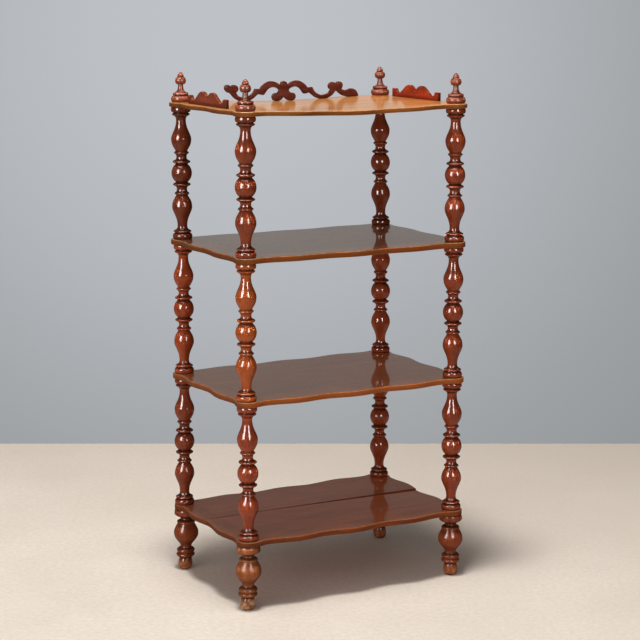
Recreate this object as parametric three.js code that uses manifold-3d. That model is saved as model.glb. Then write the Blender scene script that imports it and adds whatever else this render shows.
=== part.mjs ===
// An etagere: four wavy-edged shelves on four posts of turned spindles, with turned feet and
// finials, a fret-sawn gallery along the back of the top shelf and a sawn gallery at each end.
// Millimetres, +Z up, standing on Z = 0, with the front at -Y and the right-hand end at +X.
import * as THREE from "three";
import { mergeVertices } from "three/addons/utils/BufferGeometryUtils.js";
import Module from "manifold-3d";

const wasm = await Module();
wasm.setup();

// Layout: half the distances between the axes of the posts
const postHalfSpanX = 293;
const postHalfSpanY = 186.5;

// Fits
const glueLine = 0.3; // between a turned shoulder or a gallery and the shelf that it meets
const fitClearance = 0.3; // round a tenon or a dowel, and past its end

// Shelves
const shelfThickness = 14;
const topShelfThickness = 11.6;
const cornerRadius = 29; // rounded corners, centred on the posts
const frontWaveDepth = 10; // from the crest of a wave to its valley
const frontCornerRun = 45.5; // from a post axis to the first valley of the long edges
const frontWaveCount = 3;
const sideWaveDepth = 9;
const sideCornerRun = 36.5;
const sideWaveCount = 2;
const boardJointY = 24; // where the two boards of the bottom shelf meet
const boardJointGap = 0.3;

// Round tenon under each spindle and finial, glued in a socket in the piece below
const tenonRadius = 8.5;
const socketEngagement = 22;

// Spindle, from its middle ball outwards; it is the same both ways
const ballRadius = 26;
const ballHalfHeight = 23;
const ballGrooveRadius = 15;
const discRadius = 22.7;
const discHeight = 12.2;
const collarRadius = 13.3;
const collarHeight = 11.9;
const smallRingRadius = 19;
const smallRingHeight = 9.5;
const vaseRootRadius = 14.8;
const vaseRadius = 25.8;
const vaseHeight = 75.9;
const neckRadius = 12.4;
const neckHeight = 11.5;
const lipRadius = 22.8;
const lipHeight = 10;
const lipGrooveRadius = 18.8;
const torusRadius = 25.4;
const torusHeight = 14.1;
const torusFaceRadius = 22.4;

// Foot, from the floor up
const soleRadius = 10.5;
const toeRadius = 18.2;
const toeHeight = 30;
const toeNeckRadius = 15.4;
const lowerRingRadius = 23.9;
const lowerRingHeight = 15;
const ringGrooveRadius = 20.3;
const upperRingRadius = 23.8;
const upperRingHeight = 15;
const ankleRadius = 15;
const ankleHeight = 5;
const urnRadius = 32.2;
const urnHeight = 59;
const urnTopRadius = 22;
const urnLipRadius = 23.8;
const urnLipHeight = 9;
const footNeckRadius = 14.4;
const footNeckHeight = 7;
const footCollarRadius = 30;
const footCollarHeight = 23;
const footCollarFaceRadius = 27.2;

// Finial, from the top shelf up
const baseTorusRadius = 24.2;
const baseTorusHeight = 15.5;
const baseTorusFaceRadius = 20;
const baseGrooveRadius = 17.8;
const finialDiscRadius = 19.8;
const finialDiscHeight = 8.5;
const coveFootRadius = 14;
const coveHeight = 20;
const finialNeckRadius = 6.8;
const finialBallRadius = 13.9;
const finialBallHeight = 18;
const budRadius = 8.2;
const budHeight = 13;

// Galleries on the top shelf
const galleryThickness = 8;
const scrollHalfLength = 222;
const scrollHeight = 51;
const sideGalleryHalfLength = 115;
const sideGalleryHeight = 34;
const sideGalleryOutset = 4; // outwards from the line of the posts
const sideGalleryShiftY = 13; // back from the middle of the shelf

// Dowels that hold the galleries
const dowelRadius = 2.2;
const dowelShelfDepth = 7;
const dowelGalleryDepth = 8;

// Fineness of the round forms
const turnedSides = 8;
const ballSteps = 2;
const cornerSteps = 4;
const frontWaveSteps = 6;
const sideWaveSteps = 4;
const scrollRunSteps = 4;
const dowelSides = 8;

// How turned members swell, as [share of the height, share of the swell]
const ringEdgeShare = 0.5;
const bandEdgeShare = 0.15;
const vaseShares = [[0.14, 0.6], [0.26, 0.92], [0.4, 1], [0.56, 0.76], [0.72, 0.36], [0.88, 0.07]];
const torusShares = [[0.25, 0.9], [0.7, 0.96]];
const toeShares = [[0.12, 0.6], [0.5, 1], [0.85, 0.8]];
const urnShares = [[0.18, 0.4], [0.34, 0.81], [0.57, 1], [0.8, 0.8]];
const footCollarShares = [[0.12, 0.4], [0.3, 0.85], [0.5, 1], [0.8, 0.98]];
const coveShares = [[0.1, 0.62], [0.3, 0.3], [0.75, 0.05]];
const finialBallShares = [[0.2, 0.72], [0.5, 1], [0.8, 0.74]];
const budShares = [[0.3, 1], [0.7, 0.8], [0.9, 0.48]];

// Right half of the back gallery, clockwise from the top of its middle knob, as shares of half
// its length and of its height. Each run is smooth, and two runs meet in a corner.
const scrollHeadRunShares = [
  [[0, 1], [0.032, 0.943], [0.045, 0.82], [0.041, 0.755]],
  [[0.041, 0.755], [0.099, 0.941], [0.185, 1], [0.27, 0.824], [0.311, 0.618]],
  [[0.311, 0.618], [0.374, 0.63]],
  [[0.374, 0.63], [0.414, 0.373], [0.5, 0.192], [0.586, 0.255], [0.622, 0.431]],
  [[0.622, 0.431], [0.601, 0.608], [0.644, 0.804], [0.698, 0.637]],
  [[0.698, 0.637], [0.757, 0.804], [0.797, 0.588], [0.784, 0.412]],
];
const scrollLeafRunShares = [
  [[0.784, 0.412], [0.829, 0.353], [0.901, 0.422], [0.964, 0.314], [1, 0.04]],
  [[1, 0.04], [0.973, 0]],
  [[0.973, 0], [0.856, 0]],
  [[0.856, 0], [0.793, 0.078], [0.743, 0.206], [0.694, 0.392]],
];
const scrollTailRunShares = [
  [[0.694, 0.392], [0.64, 0.147], [0.572, 0]],
  [[0.572, 0], [0.477, 0]],
  [[0.477, 0], [0.414, 0.108], [0.338, 0.363]],
  [[0.338, 0.363], [0.27, 0.314], [0.239, 0.451]],
  [[0.239, 0.451], [0.198, 0.637], [0.135, 0.696], [0.083, 0.549], [0.104, 0.431]],
  [[0.104, 0.431], [0.148, 0.36], [0.153, 0.15], [0.117, 0]],
  [[0.117, 0], [0.063, 0]],
  [[0.063, 0], [0.027, 0.088], [0, 0.176]],
];
const scrollDowelShares = [-0.525, -0.09, 0.09, 0.525];

// Half of a side gallery's top edge from its middle notch to its end block, as shares of half
// its length and of its height
const sideEdgeShares = [
  [0, 0.61], [0.045, 0.84], [0.15, 0.97], [0.265, 1], [0.39, 0.9], [0.525, 0.62],
  [0.645, 0.38], [0.73, 0.335], [0.805, 0.43], [0.85, 0.63], [1, 0.63],
];
const sideDowelShares = [-0.6, 0.6];

// Heights that follow from the sizes above
const spindleHalfLength =
  ballHalfHeight + discHeight + collarHeight + smallRingHeight +
  vaseHeight + neckHeight + lipHeight + torusHeight;
const spindleLength = 2 * spindleHalfLength;
const footHeight =
  toeHeight + lowerRingHeight + upperRingHeight + ankleHeight + urnHeight + urnLipHeight +
  footNeckHeight + footCollarHeight;
const shelfPitch = shelfThickness + spindleLength + 2 * glueLine;
const bottomShelfZ = footHeight + glueLine;
const topShelfZ = bottomShelfZ + 3 * shelfPitch;
const topSurfaceZ = topShelfZ + topShelfThickness;
const cutOverrun = shelfThickness;

const wood = {
  darkPost: { color: 0x5a2415, roughness: 0.3 },
  post: { color: 0x74301a, roughness: 0.28 },
  warmPost: { color: 0x8c3f1e, roughness: 0.28 },
  foot: { color: 0x83431f, roughness: 0.4 },
  shelf: { color: 0x6b3a22, roughness: 0.3 },
  topShelf: { color: 0xb06a35, roughness: 0.3 },
  gallery: { color: 0x5c2012, roughness: 0.35 },
  dowel: { color: 0xb98a5a, roughness: 0.7 },
};

const etagere = new THREE.Group();

// Adds one named piece with its own material.
function addPiece(name, geometry, finish, position = new THREE.Vector3()) {
  const material = new THREE.MeshStandardMaterial({ ...finish, metalness: 0 });
  const mesh = new THREE.Mesh(geometry, material);
  mesh.name = name;
  mesh.position.copy(position);
  etagere.add(mesh);
}

// A closed geometry as a solid that can be cut. Its shared vertices are merged.
function solidOf(geometry) {
  const bare = geometry.clone();
  bare.deleteAttribute("normal");
  bare.deleteAttribute("uv");
  const merged = mergeVertices(bare);
  return new wasm.Manifold(
    new wasm.Mesh({
      numProp: 3,
      vertProperties: merged.attributes.position.array,
      triVerts: new Uint32Array(merged.index.array),
    }),
  );
}

// The geometry of a solid that has been cut.
function geometryOf(solid) {
  const mesh = solid.getMesh();
  const geometry = new THREE.BufferGeometry();
  geometry.setAttribute("position", new THREE.BufferAttribute(mesh.vertProperties, 3));
  geometry.setIndex(new THREE.BufferAttribute(mesh.triVerts, 1));
  geometry.computeVertexNormals();
  return geometry;
}

function cutAway(geometry, tools) {
  return geometryOf(tools.reduce((solid, tool) => solid.subtract(solidOf(tool)), solidOf(geometry)));
}

// Turned work. A profile is a list of [height, radius] rows, and a member is a height with rows
// of [share of that height, radius] that are set on top of the last row.
function stackMembers(startRadius, members) {
  const rows = [[0, startRadius]];
  for (const member of members) {
    const base = rows[rows.length - 1][0];
    for (const [share, radius] of member.rows) rows.push([base + share * member.height, radius]);
  }
  return rows;
}

// A sharp-edged ring that ends in a groove or a neck.
function ring(height, edgeRadius, endRadius) {
  return { height, rows: [[ringEdgeShare, edgeRadius], [1, endRadius]] };
}

// A square-edged band that ends in a groove or a neck.
function band(height, edgeRadius, endRadius) {
  return { height, rows: [[bandEdgeShare, edgeRadius], [1 - bandEdgeShare, edgeRadius], [1, endRadius]] };
}

function cylinder(height, radius) {
  return { height, rows: [[1, radius]] };
}

// A swelling between a narrow and a full radius. It ends narrow unless an end radius is given.
function swell(height, narrowRadius, fullRadius, shares, endRadius = narrowRadius) {
  const rows = shares.map(([up, out]) => [up, narrowRadius + out * (fullRadius - narrowRadius)]);
  return { height, rows: [...rows, [1, endRadius]] };
}

// Half a ball, from its widest point to the groove where it ends.
function halfBall(height, fullRadius, endRadius) {
  const rows = [];
  for (let step = 1; step <= ballSteps; step++) {
    const share = step / ballSteps;
    rows.push([share, Math.sqrt(fullRadius ** 2 - (fullRadius ** 2 - endRadius ** 2) * share ** 2)]);
  }
  return { height, rows };
}

function turn(rows) {
  const profile = rows.map(([height, radius]) => new THREE.Vector2(radius, height));
  return new THREE.LatheGeometry(profile, turnedSides).rotateX(Math.PI / 2);
}

// A round tenon under a shoulder at height 0, through a shelf and into the piece below.
function tenonRows(thickness) {
  const tenonEnd = -(2 * glueLine + thickness + socketEngagement);
  return [[tenonEnd, 0], [tenonEnd, tenonRadius], [0, tenonRadius]];
}

// A socket for the tenon above, down from a shoulder at the given height.
function socketRows(shoulder) {
  const mouthRadius = tenonRadius + fitClearance;
  const floor = shoulder - socketEngagement - fitClearance;
  return [[shoulder, mouthRadius], [floor, mouthRadius], [floor, 0]];
}

function spindleGeometry() {
  const upperHalf = stackMembers(ballRadius, [
    halfBall(ballHalfHeight, ballRadius, ballGrooveRadius),
    ring(discHeight, discRadius, collarRadius),
    cylinder(collarHeight, collarRadius),
    ring(smallRingHeight, smallRingRadius, vaseRootRadius),
    swell(vaseHeight, neckRadius, vaseRadius, vaseShares),
    cylinder(neckHeight, neckRadius),
    ring(lipHeight, lipRadius, lipGrooveRadius),
    swell(torusHeight, torusFaceRadius, torusRadius, torusShares),
  ]);
  const lowerHalf = upperHalf.slice(1).reverse().map(([height, radius]) => [-height, radius]);
  const whole = [...lowerHalf, ...upperHalf];
  const body = whole.map(([height, radius]) => [height + spindleHalfLength, radius]);
  return turn([...tenonRows(shelfThickness), ...body, ...socketRows(spindleLength)]);
}

function footGeometry() {
  const body = stackMembers(soleRadius, [
    swell(toeHeight, soleRadius, toeRadius, toeShares, toeNeckRadius),
    ring(lowerRingHeight, lowerRingRadius, ringGrooveRadius),
    ring(upperRingHeight, upperRingRadius, ankleRadius),
    cylinder(ankleHeight, ankleRadius),
    swell(urnHeight, ankleRadius, urnRadius, urnShares, urnTopRadius),
    ring(urnLipHeight, urnLipRadius, footNeckRadius),
    cylinder(footNeckHeight, footNeckRadius),
    swell(footCollarHeight, footNeckRadius, footCollarRadius, footCollarShares, footCollarFaceRadius),
  ]);
  return turn([[0, 0], ...body, ...socketRows(footHeight)]);
}

function finialGeometry() {
  const body = stackMembers(baseTorusFaceRadius, [
    swell(baseTorusHeight, baseGrooveRadius, baseTorusRadius, torusShares),
    band(finialDiscHeight, finialDiscRadius, coveFootRadius),
    swell(coveHeight, finialNeckRadius, coveFootRadius, coveShares),
    swell(finialBallHeight, finialNeckRadius, finialBallRadius, finialBallShares),
    swell(budHeight, 0, budRadius, budShares),
  ]);
  return turn([...tenonRows(topShelfThickness), ...body]);
}

// How far a wavy edge lies behind its crests at a share of the way along it. The run holds a
// whole number of waves and starts and ends in a valley.
function waveDip(share, waveCount, depth) {
  return (depth / 2) * (1 + Math.cos(2 * Math.PI * waveCount * share));
}

// The points of one wavy edge in its own frame: along is positive to the right of someone who
// looks out over the edge from the middle of the board, and out is the distance from the middle.
function edgePoints(halfSpan, otherHalfSpan, cornerRun, waveCount, waveSteps, waveDepth) {
  const waveHalfLength = halfSpan - cornerRun;
  const points = [];
  for (let step = 0; step <= waveCount * waveSteps; step++) {
    const share = step / (waveCount * waveSteps);
    const along = waveHalfLength * (2 * share - 1);
    points.push([along, otherHalfSpan + cornerRadius - waveDip(share, waveCount, waveDepth)]);
  }
  return points;
}

// The rounded corner about a post, anticlockwise from the given direction.
function cornerPoints(postX, postY, startAngle) {
  const points = [];
  for (let step = 0; step <= cornerSteps; step++) {
    const angle = startAngle + (Math.PI / 2) * (step / cornerSteps);
    const x = postX + cornerRadius * Math.cos(angle);
    const y = postY + cornerRadius * Math.sin(angle);
    points.push(new THREE.Vector2(x, y));
  }
  return points;
}

// The outline of a shelf, anticlockwise from the left end of its front edge.
function shelfOutline() {
  const longEdge = edgePoints(
    postHalfSpanX, postHalfSpanY, frontCornerRun, frontWaveCount, frontWaveSteps, frontWaveDepth,
  );
  const shortEdge = edgePoints(
    postHalfSpanY, postHalfSpanX, sideCornerRun, sideWaveCount, sideWaveSteps, sideWaveDepth,
  );
  return [
    ...longEdge.map(([along, out]) => new THREE.Vector2(along, -out)),
    ...cornerPoints(postHalfSpanX, -postHalfSpanY, -Math.PI / 2),
    ...shortEdge.map(([along, out]) => new THREE.Vector2(out, along)),
    ...cornerPoints(postHalfSpanX, postHalfSpanY, 0),
    ...longEdge.map(([along, out]) => new THREE.Vector2(-along, out)),
    ...cornerPoints(-postHalfSpanX, postHalfSpanY, Math.PI / 2),
    ...shortEdge.map(([along, out]) => new THREE.Vector2(-out, -along)),
    ...cornerPoints(-postHalfSpanX, -postHalfSpanY, Math.PI),
  ];
}

// A round hole about a post, with its flats in line with those of the turned pieces.
function turnedHole(radius, centreX, centreY) {
  const points = [];
  for (let step = 0; step < turnedSides; step++) {
    const angle = (2 * Math.PI * step) / turnedSides;
    const x = centreX + radius * Math.sin(angle);
    const y = centreY - radius * Math.cos(angle);
    points.push(new THREE.Vector2(x, y));
  }
  return new THREE.Path(points);
}

const posts = [
  { name: "front_left", x: -postHalfSpanX, y: -postHalfSpanY },
  { name: "front_right", x: postHalfSpanX, y: -postHalfSpanY },
  { name: "back_left", x: -postHalfSpanX, y: postHalfSpanY },
  { name: "back_right", x: postHalfSpanX, y: postHalfSpanY },
];

// A whole shelf board with a hole at each post.
function shelfGeometry(thickness) {
  const shape = new THREE.Shape(shelfOutline());
  const holeRadius = tenonRadius + fitClearance;
  for (const post of posts) shape.holes.push(turnedHole(holeRadius, post.x, post.y));
  return new THREE.ExtrudeGeometry(shape, { depth: thickness, bevelEnabled: false });
}

// A slab that covers everything on one side of the joint in the bottom shelf, and the joint.
function slabBeyondJoint(side) {
  const reach = 2 * (postHalfSpanX + postHalfSpanY + cornerRadius);
  const slab = new THREE.BoxGeometry(reach, reach, shelfThickness + 2 * cutOverrun);
  return slab.translate(0, boardJointY + side * (reach / 2 - boardJointGap / 2), shelfThickness / 2);
}

// Fretwork stands on its bottom edge along X, and its thickness is centred on Y = 0.
function fretwork(outline) {
  const shape = new THREE.Shape(outline);
  const board = new THREE.ExtrudeGeometry(shape, { depth: galleryThickness, bevelEnabled: false });
  return board.rotateX(Math.PI / 2).translate(0, galleryThickness / 2, 0);
}

// A run of outline points as a smooth curve, without its last point, where the next run starts.
function smoothRun(runShares, halfLength, height) {
  const points = runShares.map(([along, up]) => new THREE.Vector2(along * halfLength, up * height));
  if (points.length === 2) return [points[0]];
  return new THREE.SplineCurve(points).getPoints(scrollRunSteps).slice(0, -1);
}

// The scroll gallery. Its left half mirrors the right one, but the leaf has broken off there.
function scrollOutline() {
  const trace = (runs) => runs.flatMap((run) => smoothRun(run, scrollHalfLength, scrollHeight));
  const right = trace([...scrollHeadRunShares, ...scrollLeafRunShares, ...scrollTailRunShares]);
  const lobeEndShares = scrollHeadRunShares.at(-1).at(-1);
  const lobeEnd = new THREE.Vector2(lobeEndShares[0] * scrollHalfLength, lobeEndShares[1] * scrollHeight);
  const bottomNotchShares = scrollTailRunShares.at(-1).at(-1);
  const bottomNotch = new THREE.Vector2(0, bottomNotchShares[1] * scrollHeight);
  const left = [...trace(scrollHeadRunShares).slice(1), lobeEnd, ...trace(scrollTailRunShares)];
  return [...right, bottomNotch, ...left.reverse().map((point) => new THREE.Vector2(-point.x, point.y))];
}

function sideGalleryOutline() {
  const half = sideEdgeShares.map(
    ([along, up]) => new THREE.Vector2(along * sideGalleryHalfLength, up * sideGalleryHeight),
  );
  half.push(new THREE.Vector2(sideGalleryHalfLength, 0));
  const otherHalf = half.slice(1).reverse().map((point) => new THREE.Vector2(-point.x, point.y));
  return [...half, ...otherHalf];
}

// An upright round bar between two heights.
function upright(radius, bottom, top, x, y) {
  const bar = new THREE.CylinderGeometry(radius, radius, top - bottom, dowelSides);
  return bar.rotateX(Math.PI / 2).translate(x, y, (bottom + top) / 2);
}

// Each gallery: its outline, where its middle stands on the top shelf, whether it runs along Y,
// and where its dowels are along it.
const galleries = [
  {
    name: "back_gallery",
    outline: scrollOutline(),
    x: 0,
    y: postHalfSpanY,
    alongY: false,
    dowels: scrollDowelShares.map((share) => share * scrollHalfLength),
  },
  ...[["left", -1], ["right", 1]].map(([name, side]) => ({
    name: `${name}_gallery`,
    outline: sideGalleryOutline(),
    x: side * (postHalfSpanX + sideGalleryOutset),
    y: sideGalleryShiftY,
    alongY: true,
    dowels: sideDowelShares.map((share) => share * sideGalleryHalfLength),
  })),
];

// Where the dowels of a gallery stand on the top shelf.
function dowelPlaces(gallery) {
  return gallery.dowels.map((along) =>
    gallery.alongY ? [gallery.x, gallery.y + along] : [gallery.x + along, gallery.y],
  );
}

const dowelHoleRadius = dowelRadius + fitClearance;

function addTurnings() {
  const spindle = spindleGeometry();
  const foot = footGeometry();
  const finial = finialGeometry();
  const bays = [
    { name: "lower", finish: wood.post },
    { name: "middle", finish: wood.warmPost },
    { name: "upper", finish: wood.darkPost },
  ];
  for (const post of posts) {
    addPiece(`${post.name}_foot`, foot, wood.foot, new THREE.Vector3(post.x, post.y, 0));
    bays.forEach((bay, index) => {
      const shoulderZ = bottomShelfZ + index * shelfPitch + shelfThickness + glueLine;
      const place = new THREE.Vector3(post.x, post.y, shoulderZ);
      addPiece(`${post.name}_${bay.name}_spindle`, spindle, bay.finish, place);
    });
    const finialZ = topSurfaceZ + glueLine;
    addPiece(`${post.name}_finial`, finial, wood.post, new THREE.Vector3(post.x, post.y, finialZ));
  }
}

function addShelves() {
  const board = shelfGeometry(shelfThickness);
  const bottomPlace = new THREE.Vector3(0, 0, bottomShelfZ);
  addPiece("bottom_shelf_front_board", cutAway(board, [slabBeyondJoint(1)]), wood.shelf, bottomPlace);
  addPiece("bottom_shelf_back_board", cutAway(board, [slabBeyondJoint(-1)]), wood.shelf, bottomPlace);
  ["lower_middle_shelf", "upper_middle_shelf"].forEach((name, index) => {
    const place = new THREE.Vector3(0, 0, bottomShelfZ + (index + 1) * shelfPitch);
    addPiece(name, board, wood.shelf, place);
  });
  const dowelHoles = galleries.flatMap(dowelPlaces).map(([x, y]) =>
    upright(dowelHoleRadius, topShelfThickness - dowelShelfDepth, topShelfThickness + cutOverrun, x, y),
  );
  const topBoard = cutAway(shelfGeometry(topShelfThickness), dowelHoles);
  addPiece("top_shelf", topBoard, wood.topShelf, new THREE.Vector3(0, 0, topShelfZ));
}

function addGalleries() {
  const seatZ = topSurfaceZ + glueLine;
  for (const gallery of galleries) {
    const holes = gallery.dowels.map((along) =>
      upright(dowelHoleRadius, -cutOverrun, dowelGalleryDepth, along, 0),
    );
    const board = cutAway(fretwork(gallery.outline), holes);
    if (gallery.alongY) board.rotateZ(Math.PI / 2);
    addPiece(gallery.name, board, wood.gallery, new THREE.Vector3(gallery.x, gallery.y, seatZ));
    dowelPlaces(gallery).forEach(([x, y], index) => {
      const bottom = topSurfaceZ - dowelShelfDepth + fitClearance;
      const top = seatZ + dowelGalleryDepth - fitClearance;
      addPiece(`${gallery.name}_dowel_${index + 1}`, upright(dowelRadius, bottom, top, x, y), wood.dowel);
    });
  }
}

addShelves();
addTurnings();
addGalleries();

export default etagere;
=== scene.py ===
"""The looks of an etagere: wavy shelves on turned posts, with sawn galleries round the top one.

Lengths are millimetres and become metres where a mesh is made. X runs along the front, Y to the
back and Z up from the floor.
"""
import math
import random

import bpy
import numpy as np
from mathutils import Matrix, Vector, geometry


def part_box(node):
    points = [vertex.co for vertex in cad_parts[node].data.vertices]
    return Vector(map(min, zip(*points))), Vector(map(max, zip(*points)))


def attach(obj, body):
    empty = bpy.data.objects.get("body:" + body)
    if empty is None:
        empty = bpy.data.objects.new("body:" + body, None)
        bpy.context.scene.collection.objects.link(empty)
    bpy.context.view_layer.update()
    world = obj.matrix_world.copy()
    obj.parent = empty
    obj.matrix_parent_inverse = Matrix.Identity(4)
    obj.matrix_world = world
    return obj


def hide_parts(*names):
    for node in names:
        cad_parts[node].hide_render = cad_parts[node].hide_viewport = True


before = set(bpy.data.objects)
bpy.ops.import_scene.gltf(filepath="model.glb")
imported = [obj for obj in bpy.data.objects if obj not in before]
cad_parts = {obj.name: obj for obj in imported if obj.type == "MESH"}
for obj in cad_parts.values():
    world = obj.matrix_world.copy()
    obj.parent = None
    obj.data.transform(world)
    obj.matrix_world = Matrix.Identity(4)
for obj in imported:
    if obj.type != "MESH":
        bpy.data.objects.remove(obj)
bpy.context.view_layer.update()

MM = 0.001
POSTS = ("front_left", "front_right", "back_left", "back_right")

# The bays from the lowest up, each with a board that its spindles stand on
BAY_BOARDS = {"lower": "bottom_shelf_front_board", "middle": "lower_middle_shelf",
              "upper": "upper_middle_shelf"}

# Shelves: their edges swing in waves between rounded ears on the posts
EAR_RADIUS = 29.0
LONG_WAVE = {"count": 3, "depth": 10.0, "corner_run": 45.5}
SHORT_WAVE = {"count": 2, "depth": 9.0, "corner_run": 36.5}
WAVE_SHARES = {"upper_middle_shelf": 0.68, "lower_middle_shelf": 0.95}
TOP_ARRIS = 2.2
BOTTOM_ARRIS = 2.6
JOINT_Y = 24.0
JOINT_GAP = 0.8
LONG_STEPS = 150
SHORT_STEPS = 84
EAR_STEPS = 12
ARRIS_STEPS = 5

# Spindle, from the middle of its ball outwards; it is the same both ways. A swell or a cove goes
# smoothly through its keys, which are (share of its height, radius).
BALL = {"height": 23.0, "full": 26.0, "end": 14.8}
DISC = {"height": 12.2, "keys": ((0, 14.8), (0.2, 18.8), (0.36, 22.0), (0.52, 22.7), (0.68, 21.2),
                                 (0.84, 17.0), (1, 14.4))}
SPOOL = {"height": 11.9, "keys": ((0, 14.4), (0.3, 13.2), (0.6, 13.1), (1, 14.3))}
SMALL_RING = {"height": 9.5, "keys": ((0, 14.3), (0.25, 17.2), (0.45, 19.0), (0.65, 18.3), (1, 14.8))}
VASE = {"height": 75.9, "keys": ((0, 14.8), (0.09, 18.7), (0.17, 22.1), (0.26, 24.5), (0.37, 25.6),
                                 (0.46, 25.0), (0.57, 22.1), (0.68, 18.4), (0.79, 15.2), (0.9, 13.2),
                                 (1, 12.4))}
NECK = {"height": 11.5, "keys": ((0, 12.4), (0.4, 12.6), (0.75, 13.6), (1, 15.6))}
LIP = {"height": 10.0, "keys": ((0, 15.6), (0.25, 20.4), (0.45, 22.7), (0.62, 22.4), (0.85, 19.4), (1, 18.8))}
TORUS = {"height": 14.1, "full": 25.2, "end": 22.4}

# Foot, from the floor up
SOLE_RADIUS = 10.5
TOE = {"height": 30.0, "keys": ((0, 10.5), (0.07, 13.8), (0.22, 16.8), (0.45, 18.2), (0.7, 17.9), (1, 15.4))}
LOWER_RING = {"height": 15.0, "keys": ((0, 15.4), (0.25, 19.4), (0.5, 23.4), (0.72, 23.9), (1, 20.2))}
UPPER_RING = {"height": 15.0, "keys": ((0, 20.2), (0.22, 22.6), (0.45, 23.8), (0.68, 21.8), (1, 15.4))}
URN_START = TOE["height"] + LOWER_RING["height"] + UPPER_RING["height"]
BEND_IN_URN = 30.0
URN = {"height": 64.0, "keys": ((0, 15.4), (0.06, 14.7), (0.14, 16.8), (0.24, 21.6), (0.33, 26.2),
                                (0.42, 29.8), (0.52, 31.8), (0.62, 32.2), (0.72, 31.1), (0.82, 28.6),
                                (0.92, 25.0), (1, 22.0))}
URN_LIP = {"height": 9.0, "keys": ((0, 22.0), (0.25, 23.5), (0.55, 23.6), (0.8, 21.4), (1, 17.4))}
FOOT_NECK = {"height": 7.0, "keys": ((0, 17.4), (0.35, 15.0), (0.7, 14.2), (1, 15.6))}
COLLAR = {"height": 23.0, "keys": ((0, 15.6), (0.12, 20.6), (0.24, 26.0), (0.36, 29.0), (0.5, 30.0),
                                   (0.75, 29.8), (0.9, 28.8), (1, 27.2))}

# Finial, from the top shelf up
BASE_RADIUS = 20.0
BASE_TORUS = {"height": 15.5, "full": 24.8, "end": 17.8}
BASE_DISC = {"height": 8.5, "keys": ((0, 17.8), (0.15, 19.4), (0.4, 19.8), (0.75, 19.6), (0.92, 18.2),
                                     (1, 14.5))}
CONE = {"height": 20.0, "keys": ((0, 14.5), (0.1, 11.4), (0.25, 9.0), (0.45, 7.6), (0.75, 6.8), (1, 6.6))}
KNOB = {"height": 18.0, "full": 13.9, "end": 7.3}
BUD = {"height": 13.0, "keys": ((0, 7.3), (0.14, 8.4), (0.35, 8.1), (0.62, 6.3), (0.86, 3.8), (1, 0))}

TURNED_SIDES = 56
MEMBER_STEP = 1.9
LEAST_ROW_GAP = 1e-6
BEAD_EXTRA_STEPS = 5
BEAD_SQUARENESS = 0.85
GLUE_LINE = 0.3

# Edges sharper than this, in degrees, stay sharp
SMOOTH_ANGLE = 38.0
SAWN_SMOOTH_ANGLE = 30.0

# Galleries
GALLERY_THICKNESS = 8.0
GALLERY_ARRIS = 0.7
GALLERY_SETTLE = 0.15
SCROLL_HALF_LENGTH = 222.0
SCROLL_HEIGHT = 51.0
SIDE_HALF_LENGTH = 115.0
SIDE_LENGTH_SHARES = {"left_gallery": 0.955, "right_gallery": 1.0}
SIDE_HEIGHT = 34.0
CURVE_STEPS = 9

# The right half of the back gallery, clockwise from the top of its middle knob, as shares of half
# its length and of its height. Each run is smooth, and two runs meet in a corner.
SCROLL_HEAD_SHARES = (
    ((0, 1), (0.032, 0.943), (0.045, 0.82), (0.041, 0.755)),
    ((0.041, 0.755), (0.099, 0.941), (0.185, 1), (0.27, 0.824), (0.311, 0.618)),
    ((0.311, 0.618), (0.374, 0.63)),
    ((0.374, 0.63), (0.414, 0.373), (0.5, 0.192), (0.586, 0.255), (0.622, 0.431)),
    ((0.622, 0.431), (0.6, 0.52), (0.593, 0.64), (0.608, 0.76), (0.64, 0.815), (0.672, 0.79), (0.69, 0.715)),
)
SCROLL_LEAF_SHARES = (
    ((0.69, 0.715), (0.708, 0.79), (0.737, 0.82), (0.768, 0.775), (0.783, 0.66), (0.78, 0.53), (0.768, 0.42)),
    ((0.768, 0.42), (0.829, 0.353), (0.901, 0.422), (0.964, 0.314), (1, 0.04)),
    ((1, 0.04), (0.973, 0)),
    ((0.973, 0), (0.856, 0)),
    ((0.856, 0), (0.793, 0.078), (0.743, 0.206), (0.694, 0.392)),
)
BROKEN_KNOB_SHARES = (
    ((0.69, 0.715), (0.705, 0.79), (0.733, 0.82), (0.757, 0.77), (0.766, 0.66), (0.757, 0.54), (0.735, 0.45)),
    ((0.735, 0.45), (0.694, 0.392)),
)
SCROLL_TAIL_SHARES = (
    ((0.694, 0.392), (0.64, 0.147), (0.572, 0)),
    ((0.572, 0), (0.477, 0)),
    ((0.477, 0), (0.414, 0.108), (0.338, 0.363)),
    ((0.338, 0.363), (0.27, 0.314), (0.239, 0.451)),
    ((0.239, 0.451), (0.2, 0.63), (0.14, 0.7), (0.078, 0.62), (0.064, 0.5), (0.088, 0.4)),
    ((0.088, 0.4), (0.13, 0.375), (0.153, 0.24), (0.143, 0.07), (0.113, 0)),
    ((0.113, 0), (0.07, 0)),
    ((0.07, 0), (0.03, 0.08), (0, 0.23)),
)
SIDE_TOP_SHARES = (
    ((0, 0.53), (0.06, 0.73), (0.15, 0.93), (0.265, 1), (0.39, 0.9), (0.525, 0.62), (0.645, 0.37),
     (0.73, 0.305), (0.805, 0.4), (0.85, 0.63)),
    ((0.85, 0.63), (1, 0.63)),
    ((1, 0.63), (1, 0)),
)

# Age: how far the boards have sunk or warped
TOP_SAG = 6.2
MIDDLE_SAG = 1.2
BOTTOM_SAG = 2.0
FRONT_BOARD_DROP = 3.6
FRONT_BOARD_DROP_START_X = -137.0
FRONT_BOARD_DROP_BEND = 1.5

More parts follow.
